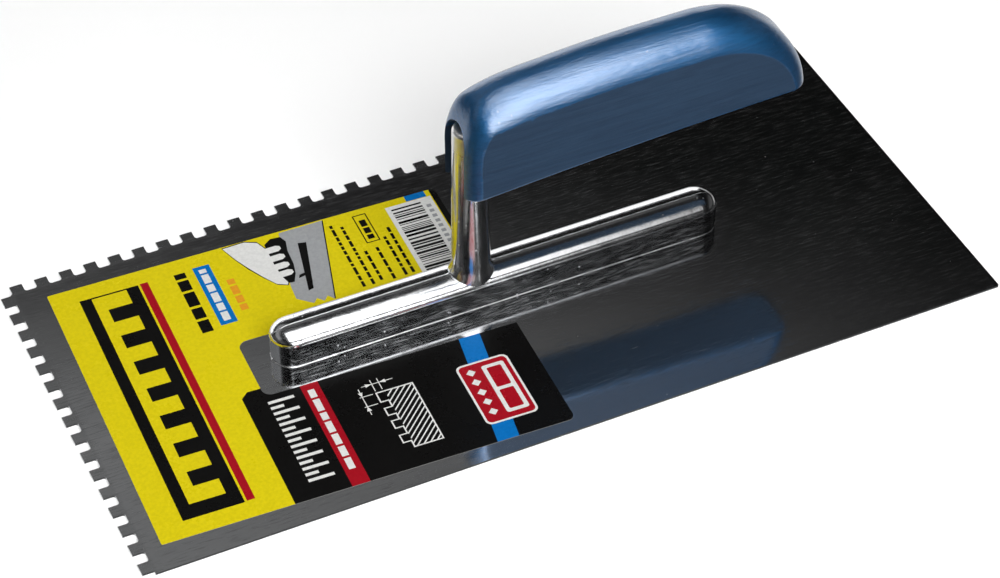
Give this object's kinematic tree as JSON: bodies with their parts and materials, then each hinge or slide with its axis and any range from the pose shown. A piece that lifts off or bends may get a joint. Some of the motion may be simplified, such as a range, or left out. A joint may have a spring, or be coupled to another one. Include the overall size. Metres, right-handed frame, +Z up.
{
  "type": "notched trowel",
  "caption": "Square-notch adhesive trowel: thin steel blade toothed on one long and one short side, cast foot bar with a bent post, and a painted wooden grip above it.",
  "frame": {"origin": "middle of the blade's underside, the face that works the adhesive", "axes": "+X along the blade towards its plain short end, +Y towards its toothed long side, +Z up from the blade to the grip"},
  "size_m": [0.28, 0.13, 0.0839],
  "materials": {
    "blade_steel": "mirror-rolled stainless sheet with faint scratches",
    "label_film": "glossy printed film",
    "cast_aluminium": "polished casting",
    "rivet_metal": "ground flush",
    "painted_grip": "glossy blue paint over wood",
    "zinc_steel": "zinc plated"
  },
  "bodies": {
    "root": {"blade": "blade_steel", "label": "label_film", "spine_casting": "cast_aluminium", "rivets": "rivet_metal", "handle": "painted_grip", "washer": "zinc_steel", "handle_screw": "zinc_steel"}
  },
  "joints": []
}
